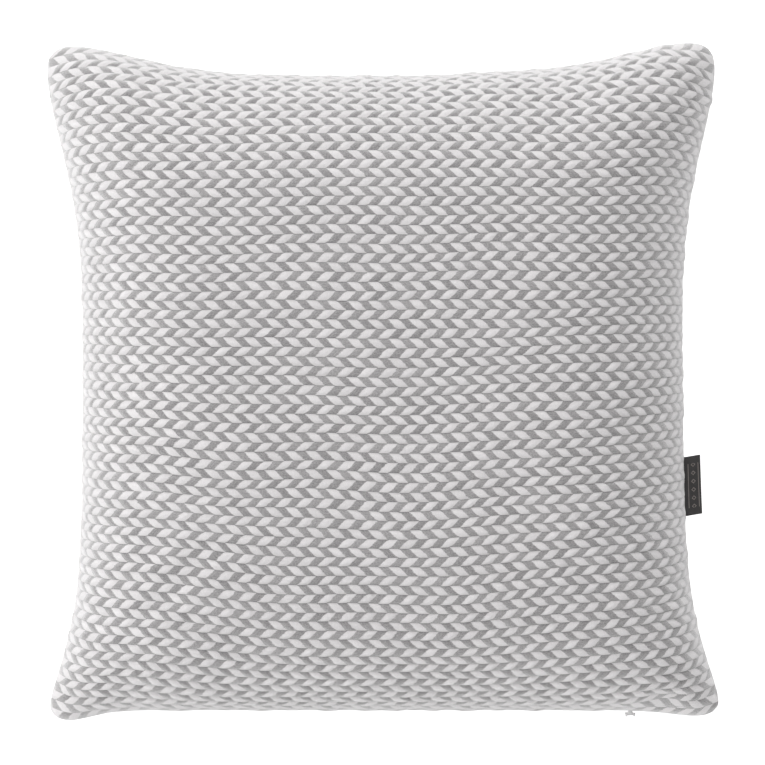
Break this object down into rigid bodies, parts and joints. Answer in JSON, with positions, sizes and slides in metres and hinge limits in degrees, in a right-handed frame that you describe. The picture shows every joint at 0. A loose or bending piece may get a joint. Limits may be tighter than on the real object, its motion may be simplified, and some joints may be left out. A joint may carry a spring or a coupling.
{
  "type": "throw pillow",
  "caption": "Square throw pillow with a chunky two-tone knitted zip-off cover over a fibre-filled inner pad, with a concealed zip and a small side label.",
  "frame": {"origin": "centre of the bounding box at the plane that the pillow lies on", "axes": "+X to the pillow's right and +Y to its top edge as seen from the front, +Z out of the front face; the pillow lies on its back"},
  "size_m": [0.4696, 0.4699, 0.135],
  "materials": {
    "cover_knit": "chunky two-ply cord knit in white and grey, soft and matt",
    "sewing_thread": "twisted polyester thread, slight sheen",
    "label_satin": "black woven satin with a plain grey woven motif",
    "care_ribbon": "thin white ribbon",
    "zip_tape": "woven polyester tape",
    "zip_coil": "nylon monofilament coil",
    "zip_metal": "grey lacquered zinc",
    "ticking": "plain white cotton, matt",
    "fibre": "loose white polyester fibre"
  },
  "bodies": {
    "cushion": {"cover_front_panel": "cover_knit", "cover_back_panel": "cover_knit", "cover_seam_needle_thread": "sewing_thread", "cover_seam_bobbin_thread": "sewing_thread", "cover_overlock_thread": "sewing_thread", "side_label": "label_satin", "care_label": "care_ribbon", "zip_tape_front": "zip_tape", "zip_tape_back": "zip_tape", "zip_coil_front": "zip_coil", "zip_coil_back": "zip_coil", "zip_top_stop_front": "zip_metal", "zip_top_stop_back": "zip_metal", "zip_bottom_stop": "zip_metal", "zip_stitching_front": "sewing_thread", "zip_stitching_back": "sewing_thread", "zip_bartack_left": "sewing_thread", "zip_bartack_right": "sewing_thread", "insert_front_panel": "ticking", "insert_back_panel": "ticking", "insert_seam_thread": "sewing_thread", "insert_closing_stitch": "sewing_thread", "fibre_fill": "fibre"},
    "zip_slider": {"zip_slider_body": "zip_metal"},
    "pull_tab": {"zip_pull_tab": "zip_metal"}
  },
  "joints": [
    {"name": "zip_slide", "type": "slide", "parent": "cushion", "child": "zip_slider", "axis": [-1, 0, 0], "range_m": [0, 0.34]},
    {"name": "pull_tab_swing", "type": "hinge", "parent": "zip_slider", "child": "pull_tab", "pos_m": [0.17415, -0.2336, 0.066], "axis": [-1, 0, 0], "range_deg": [0, 165]}
  ]
}
